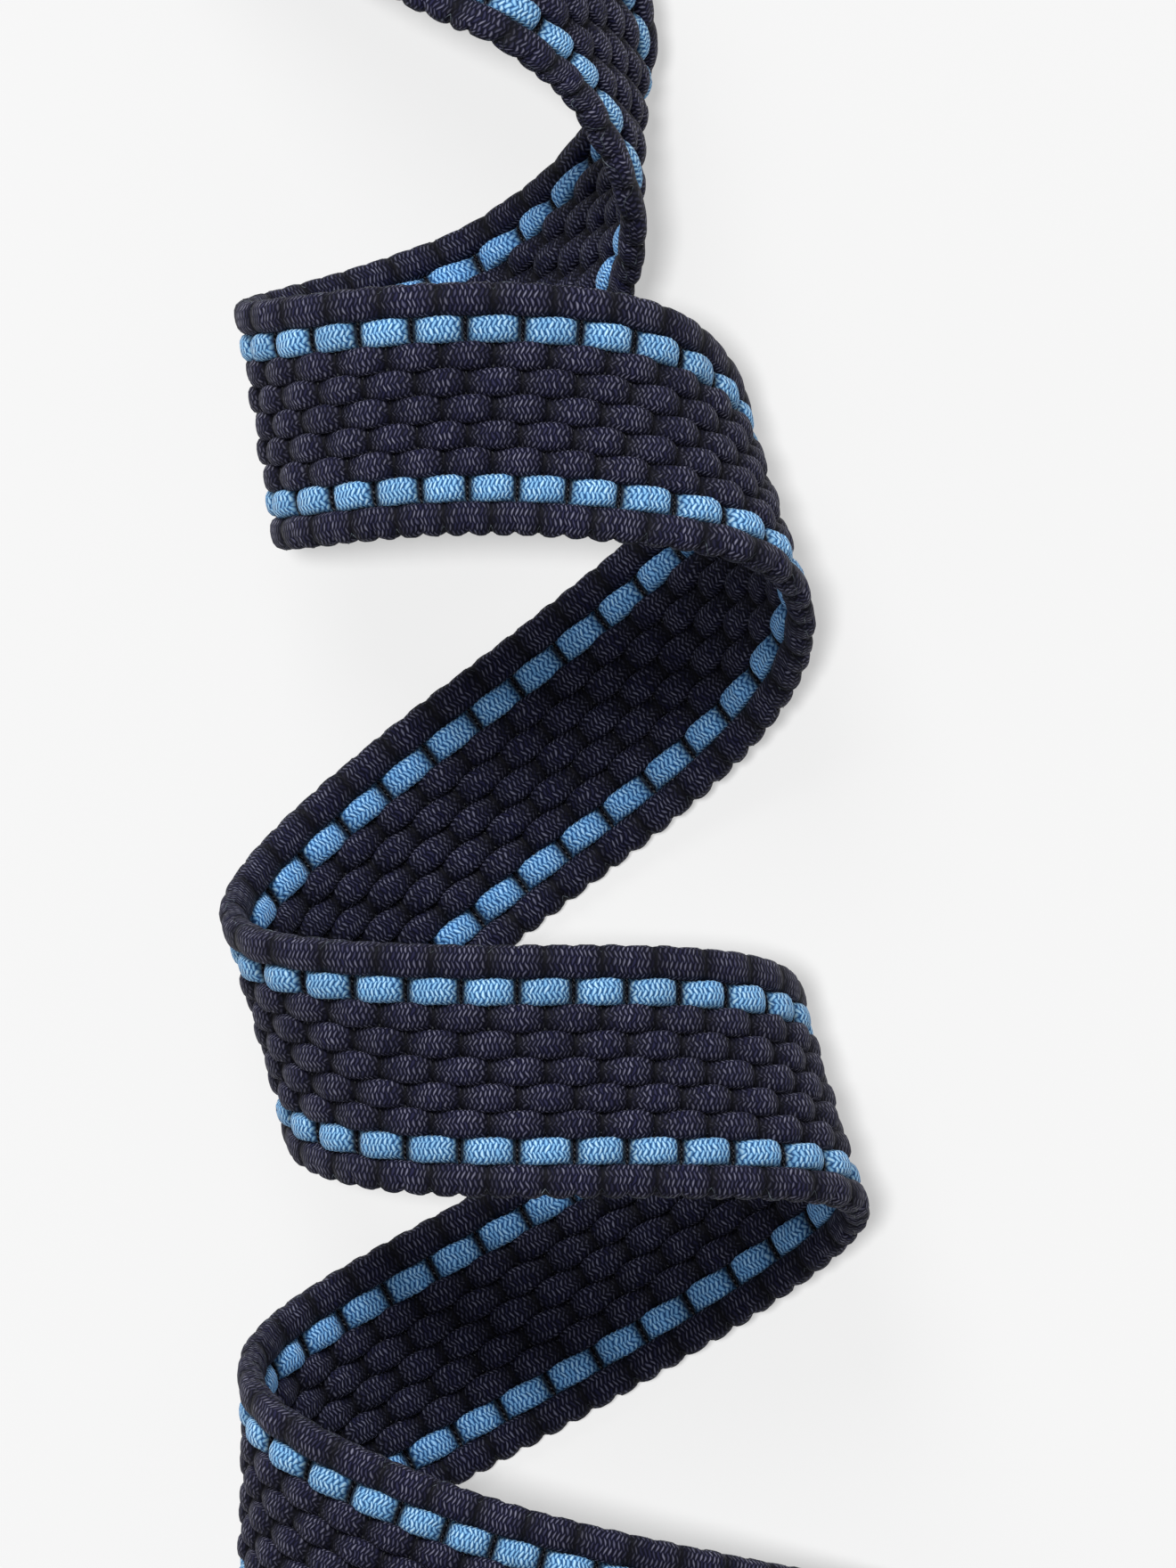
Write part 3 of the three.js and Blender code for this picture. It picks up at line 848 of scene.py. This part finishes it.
# %% Braid node group
WANDER_SCALE = 0.5
ROW_WANDER = 0.8
COLUMN_WANDER = 3.2
TUCK = 0.22
END_ROUNDNESS = 0.9
GLINT_SHARPNESS = 5.0

braid, entry, leave = new_group(
    "herringbone_braid",
    [
        ("UV", "NodeSocketVector", None),
        ("Pitch", "NodeSocketFloat", 0.8),
        ("Slant", "NodeSocketFloat", 0.42),
        ("Slimness", "NodeSocketFloat", 1.0),
        ("Breaks", "NodeSocketFloat", 0.8),
        ("Jitter", "NodeSocketFloat", 0.42),
    ],
    [("Strand", "NodeSocketFloat"), ("Glint", "NodeSocketFloat"), ("Shade", "NodeSocketFloat")],
)
split = braid.nodes.new("ShaderNodeSeparateXYZ")
braid.links.new(entry.outputs["UV"], split.inputs[0])
uneven = noise(braid, entry.outputs["UV"], WANDER_SCALE, 1.0)
uneven = math_node(braid, "SUBTRACT", uneven, 0.5)
uneven = math_node(braid, "MULTIPLY", uneven, entry.outputs["Jitter"])
row = math_node(braid, "MULTIPLY_ADD", uneven, ROW_WANDER, split.outputs["Y"])
zigzag = math_node(braid, "PINGPONG", row, 1)
columns = math_node(braid, "DIVIDE", split.outputs["X"], entry.outputs["Pitch"])
columns = math_node(braid, "MULTIPLY_ADD", uneven, COLUMN_WANDER, columns)
slanted = math_node(braid, "MULTIPLY_ADD", zigzag, entry.outputs["Slant"], columns)
tucked = wave(braid, "COSINE", slanted, 2 * math.pi)
tucked = math_node(braid, "MULTIPLY", tucked, wave(braid, "COSINE", row))
row = math_node(braid, "MULTIPLY_ADD", tucked, -TUCK, row)
other_row = math_node(braid, "PINGPONG", math_node(braid, "FLOOR", row), 1)
slanted = math_node(braid, "MULTIPLY_ADD", other_row, 0.5, slanted)
crest = math_node(braid, "ABSOLUTE", wave(braid, "SINE", slanted))
rounded = math_node(braid, "POWER", crest, entry.outputs["Slimness"])
ends = math_node(braid, "ABSOLUTE", wave(braid, "SINE", row))
ends = math_node(braid, "SUBTRACT", math_node(braid, "POWER", ends, END_ROUNDNESS), 1.0)
broken = math_node(braid, "MULTIPLY", ends, entry.outputs["Breaks"])
strand = math_node(braid, "MULTIPLY", rounded, math_node(braid, "ADD", broken, 1.0))
braid.links.new(strand, leave.inputs["Strand"])
own_strand = braid.nodes.new("ShaderNodeCombineXYZ")
braid.links.new(math_node(braid, "FLOOR", slanted), own_strand.inputs[0])
braid.links.new(math_node(braid, "FLOOR", row), own_strand.inputs[1])
chance = braid.nodes.new("ShaderNodeTexWhiteNoise")
chance.noise_dimensions = "2D"
braid.links.new(own_strand.outputs[0], chance.inputs["Vector"])
braid.links.new(chance.outputs["Value"], leave.inputs["Shade"])
# where a painted glint goes: on the fullest strands, at random
spot = math_node(braid, "POWER", strand, GLINT_SHARPNESS)
glint = math_node(braid, "MULTIPLY", spot, chance.outputs["Value"])
braid.links.new(glint, leave.inputs["Glint"])
print("braid group has", len(braid.nodes), "nodes")

# %% [markdown]
# ### Cord yarn
# The valleys between strands get painted shade, their crests painted highlights, and here and
# there a strand gets a painted glint. The pinches get painted shade, because little light gets in
# there. The jacket is matt with a soft sheen from its fine fibres. The inner side of the band has
# painted shade as a tint of its own, which was fitted to the photo and isn't known from the belt.

# %% Cord materials
# each pair is how much a value counts and what is added to it
BODY_FROM_STRAND = (1.6, 0.0)
CREST_HIGHLIGHT_FROM_STRAND = (2.2, -1.12)
DRIFT_FROM_PATCHES = (0.35, 0.72)
ROUGHNESS_FROM_FIBRES = (0.25, 0.5)
FULL_CREST_HIGHLIGHT = 1.05
TONE_SHARE = 0.2
PINCH_SHADE_POWER, PINCH_SHADE_SHARE = 1.1, 0.96
PATCH_SCALE = 90.0
FIBRE_SCALE = 5200.0
FIBRE_SHARE = 0.22
STRAND_RELIEF = 0.16 * MM


def yarn_material(name, glint_share, variety, inner_shade_tint, sheen, gloss, braiding, **colours):
    """A braided jacket's material, from its colours and the numbers of its braid."""
    material, tree, shader, place = new_material(name)
    uv = tree.nodes.new("ShaderNodeUVMap")
    uv.uv_map = "braid"
    pattern = tree.nodes.new("ShaderNodeGroup")
    pattern.node_tree = braid
    for label, value in zip(("Pitch", "Slimness", "Breaks"), braiding):
        pattern.inputs[label].default_value = value
    tree.links.new(uv.outputs[0], pattern.inputs["UV"])
    strand, painted_shade = pattern.outputs["Strand"], attribute(tree, "painted_shade")

    # strands: painted shade in valleys, painted crest highlights of random strength, painted
    # glints on a few
    body = math_node(tree, "MULTIPLY_ADD", strand, *BODY_FROM_STRAND, clamp=True)
    colour = mix_colours(tree, body, colours["valley"], colours["body"])
    own = pattern.outputs["Shade"]
    own = math_node(tree, "MULTIPLY_ADD", own, variety, FULL_CREST_HIGHLIGHT - variety)
    crest = math_node(tree, "MULTIPLY_ADD", strand, *CREST_HIGHLIGHT_FROM_STRAND, clamp=True)
    crest = math_node(tree, "MULTIPLY", crest, own)
    colour = mix_colours(tree, crest, colour, colours["crest"])
    spark = math_node(tree, "MULTIPLY", pattern.outputs["Glint"], glint_share, clamp=True)
    colour = mix_colours(tree, spark, colour, colours["glint"])

    # larger differences: random patches and float tones, painted shade on the inner side and in
    # pinches
    patches = noise(tree, place, PATCH_SCALE, 3.0)
    drift = math_node(tree, "MULTIPLY_ADD", patches, *DRIFT_FROM_PATCHES)
    drift = math_node(tree, "MULTIPLY_ADD", attribute(tree, "tone"), TONE_SHARE, drift)
    grey = tree.nodes.new("ShaderNodeCombineColor")
    for socket in grey.inputs:
        tree.links.new(drift, socket)
    colour = mix_colours(tree, 1.0, colour, grey.outputs[0], "MULTIPLY")
    # painted shade on the inner side of the band
    colour = mix_colours(tree, attribute(tree, "inner"), colour, inner_shade_tint, "MULTIPLY")
    # painted shade: the pinches are darkened toward the pinch colour
    deep = math_node(tree, "POWER", painted_shade, PINCH_SHADE_POWER)
    deep = math_node(tree, "MULTIPLY", deep, PINCH_SHADE_SHARE)
    colour = mix_colours(tree, deep, colour, colours["pinch"])
    tree.links.new(colour, shader.inputs["Base Color"])

    # surface: strands and fibres stand out, less so in a pinch
    fibres = noise(tree, place, FIBRE_SCALE, 2.0)
    raised = math_node(tree, "MULTIPLY", strand, math_node(tree, "SUBTRACT", 1.0, painted_shade))
    height = math_node(tree, "MULTIPLY_ADD", fibres, FIBRE_SHARE, raised)
    bumped(tree, shader, height, 0.9, STRAND_RELIEF)
    rough = math_node(tree, "MULTIPLY_ADD", fibres, *ROUGHNESS_FROM_FIBRES)
    tree.links.new(rough, shader.inputs["Roughness"])
    shader.inputs["Specular IOR Level"].default_value = gloss
    shader.inputs["Sheen Weight"].default_value = sheen
    shader.inputs["Sheen Roughness"].default_value = 0.4
    return material


# braiding is the strands' pitch in mm, how slim they are and how clearly they end
# the colours of the valleys and the pinches are painted shade, those of crests and glints painted
# highlights
navy_yarn = yarn_material(
    "navy_yarn",
    valley=(0.0036, 0.0037, 0.009),
    body=(0.0092, 0.0095, 0.039),
    crest=(0.070, 0.068, 0.138),
    glint=(0.24, 0.24, 0.3),
    glint_share=0.9,
    variety=0.9,
    braiding=(0.68, 1.9, 0.9),
    pinch=(0.0036, 0.0036, 0.006),
    inner_shade_tint=(0.87, 0.90, 0.92),
    sheen=0.03,
    gloss=0.09,
)
blue_yarn = yarn_material(
    "blue_yarn",
    valley=(0.010, 0.052, 0.165),
    body=(0.104, 0.312, 0.63),
    crest=(0.37, 0.70, 0.98),
    glint=(0.75, 0.92, 1.0),
    glint_share=0.55,
    variety=0.45,
    braiding=(0.71, 1.5, 0.55),
    pinch=(0.004, 0.005, 0.010),
    inner_shade_tint=(0.94, 1.03, 1.14),
    sheen=0.1,
    gloss=0.12,
)
dark_yarn = yarn_material(
    "dark_yarn",
    valley=(0.001, 0.001, 0.002),
    body=(0.004, 0.004, 0.007),
    crest=(0.016, 0.016, 0.026),
    glint=(0.3, 0.32, 0.34),
    glint_share=0.5,
    variety=0.9,
    braiding=(0.8, 1.5, 0.5),
    pinch=(0.002, 0.002, 0.004),
    inner_shade_tint=(1.0, 1.0, 1.0),
    sheen=0.0,
    gloss=0.03,
)
clear_thread, tree, shader, place = new_material("clear_thread")
# dark with random pale patches: partly the thread's own pale colour, partly painted highlights
patchy = math_node(tree, "MULTIPLY_ADD", noise(tree, place, 420.0, 2.0), 4.0, -2.0, clamp=True)
frayed = math_node(tree, "MULTIPLY_ADD", noise(tree, place, 3000.0, 2.0), 3.0, -1.0, clamp=True)
bright = math_node(tree, "MULTIPLY", patchy, frayed)
face = mix_colours(tree, bright, (0.008, 0.011, 0.018), (0.26, 0.32, 0.38))
tree.links.new(face, shader.inputs["Base Color"])
tree.links.new(math_node(tree, "MULTIPLY_ADD", frayed, 0.25, 0.3), shader.inputs["Roughness"])
shader.inputs["Specular IOR Level"].default_value = 0.3
lock_threads.data.materials.append(clear_thread)

for name, cord in cords.items():
    cord.data.materials.append(blue_yarn if name.startswith("blue") else navy_yarn)
    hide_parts("band")
crossing_yarn.data.materials.append(dark_yarn)

# %% [markdown]
# ### Leather, thread and metal
# Smooth dark leather has a fine pebble of cells with creases between them. Near its edges it is
# rubbed paler. The buckle is brushed metal: long fine scratches along it, and polished edges.

# %% Edge wear node group
wear, wear_in, wear_out = new_group(
    "edge_wear",
    [
        ("Rim", "NodeSocketFloat", 0.0),
        ("Place", "NodeSocketVector", None),
        ("Raggedness", "NodeSocketFloat", 0.5),
    ],
    [("Mask", "NodeSocketFloat")],
)
ragged = noise(wear, wear_in.outputs["Place"], 900.0, 3.0)
ragged = math_node(wear, "SUBTRACT", ragged, 0.5)
ragged = math_node(wear, "MULTIPLY", ragged, wear_in.outputs["Raggedness"])
worn = math_node(wear, "ADD", wear_in.outputs["Rim"], ragged, clamp=True)
wear.links.new(math_node(wear, "POWER", worn, 2.0), wear_out.inputs["Mask"])
print("edge wear group has", len(wear.nodes), "nodes")


def worn_material(name, raggedness):
    """A new material and a mask of its worn edges."""
    material, tree, shader, place = new_material(name)
    mask = tree.nodes.new("ShaderNodeGroup")
    mask.node_tree = wear
    mask.inputs["Raggedness"].default_value = raggedness
    tree.links.new(attribute(tree, "rim"), mask.inputs["Rim"])
    tree.links.new(place, mask.inputs["Place"])
    return material, tree, shader, place, mask.outputs["Mask"]


# %% Leather material
leather, tree, shader, place, worn = worn_material("dark_leather", 0.5)
cells = tree.nodes.new("ShaderNodeTexVoronoi")
cells.feature = "DISTANCE_TO_EDGE"
cells.inputs["Scale"].default_value = 1500.0
tree.links.new(place, cells.inputs["Vector"])
pebble = math_node(tree, "MULTIPLY", cells.outputs[0], 3.2, clamp=True)
hide = noise(tree, place, 160.0, 4.0)
face = mix_colours(tree, hide, (0.006, 0.006, 0.010), (0.014, 0.014, 0.021))
face = mix_colours(tree, pebble, (0.004, 0.004, 0.006), face)
rubbed = mix_colours(tree, math_node(tree, "MULTIPLY", worn, 0.55), face, (0.055, 0.049, 0.046))
tree.links.new(rubbed, shader.inputs["Base Color"])
pores = noise(tree, place, 4200.0, 2.0)
bumped(tree, shader, math_node(tree, "MULTIPLY_ADD", pores, 0.3, pebble), 0.6, 0.08 * MM)
tree.links.new(math_node(tree, "MULTIPLY_ADD", pebble, -0.16, 0.62), shader.inputs["Roughness"])
shader.inputs["Specular IOR Level"].default_value = 0.28

# %% Metal material
metal, tree, shader, place, worn = worn_material("brushed_metal", 0.25)
spread = tree.nodes.new("ShaderNodeMapping")
spread.inputs["Rotation"].default_value = (0, 0, -TAB_TURN)
spread.inputs["Scale"].default_value = (350.0, 6500.0, 6500.0)
tree.links.new(place, spread.inputs["Vector"])
scratches = noise(tree, spread.outputs[0], 1.0, 3.0, 0.7)
tarnish = noise(tree, place, 140.0, 3.0)
face = mix_colours(tree, tarnish, (0.27, 0.27, 0.28), (0.40, 0.40, 0.41))
face = mix_colours(tree, math_node(tree, "MULTIPLY", worn, 0.6), face, (0.60, 0.60, 0.61))
tree.links.new(face, shader.inputs["Base Color"])
shader.inputs["Metallic"].default_value = 1.0
tree.links.new(math_node(tree, "MULTIPLY_ADD", scratches, 0.3, 0.2), shader.inputs["Roughness"])
bumped(tree, shader, scratches, 0.25, 0.02 * MM)

# %% Thread material
thread, tree, shader, place = new_material("waxed_thread")
ply = noise(tree, place, 3200.0, 2.0)
face = mix_colours(tree, ply, (0.02, 0.022, 0.05), (0.075, 0.08, 0.15))
tree.links.new(face, shader.inputs["Base Color"])
tree.links.new(math_node(tree, "MULTIPLY_ADD", ply, 0.3, 0.35), shader.inputs["Roughness"])
bumped(tree, shader, ply, 0.5, 0.1 * MM)

for piece in (tab_leather, tip_leather):
    piece.data.materials.append(leather)
for piece in (tab_seam, tip_seam):
    piece.data.materials.append(thread)
buckle_metal_piece.data.materials.append(metal)
print("materials", [m.name for m in bpy.data.materials])

# %% [markdown]
# ## Floor and light
# A pale seamless surface, one large soft light from the top and a little left, and an even fill
# from all round. The paper glows a little, as a bright sweep does. A second light from almost
# straight above falls on the paper alone and gives the belt its narrow, soft shadow there.

# %% Studio
FLOOR_HALF = 6
GLOW = 0.48
FILL = 0.48
KEY_PLACE = Vector((-0.38, 0.95, 1.25))
KEY_SIZE = 0.8
KEY_WATTS = 23
PAPER_LIGHT_ALONG = Vector((0.09, -0.018, -1))
PAPER_LIGHT_BLUR = math.radians(7)
PAPER_LIGHT_STRENGTH = 12

bm = bmesh.new()
bmesh.ops.create_grid(bm, x_segments=1, y_segments=1, size=FLOOR_HALF)
floor = bpy.data.objects.new("floor", mesh_from(bm, "floor"))
bpy.context.scene.collection.objects.link(floor)
paper, tree, shader, place = new_material("white_paper")
face = mix_colours(tree, noise(tree, place, 3.0), (0.085, 0.085, 0.085), (0.092, 0.092, 0.092))
tree.links.new(face, shader.inputs["Base Color"])
shader.inputs["Emission Color"].default_value = (1, 1, 1, 1)
shader.inputs["Emission Strength"].default_value = GLOW
shader.inputs["Roughness"].default_value = 0.9
shader.inputs["Specular IOR Level"].default_value = 0.1
floor.data.materials.append(paper)


def light(name, kind, energy, along):
    """A light that shines along a direction."""
    data = bpy.data.lights.new(name, kind)
    data.energy = energy
    lamp = bpy.data.objects.new(name, data)
    lamp.rotation_euler = along.to_track_quat("-Z", "Y").to_euler()
    bpy.context.scene.collection.objects.link(lamp)
    return lamp


key_light = light("key_light", "AREA", KEY_WATTS, -KEY_PLACE)
key_light.location = KEY_PLACE
key_light.data.shape = "DISK"
key_light.data.size = KEY_SIZE
paper_light = light("paper_light", "SUN", PAPER_LIGHT_STRENGTH, PAPER_LIGHT_ALONG)
paper_light.data.angle = PAPER_LIGHT_BLUR
paper_only = bpy.data.collections.new("paper_only")
paper_only.objects.link(floor)
paper_light.light_linking.receiver_collection = paper_only
bpy.context.scene.view_settings.view_transform = "Standard"
world = bpy.data.worlds.new("studio")
bpy.context.scene.world = world
world.use_nodes = True
sky = world.node_tree.nodes["Background"]
sky.inputs["Color"].default_value = (1, 1, 1, 1)
sky.inputs["Strength"].default_value = FILL
print("lights", [lamp.name for lamp in (key_light, paper_light)])
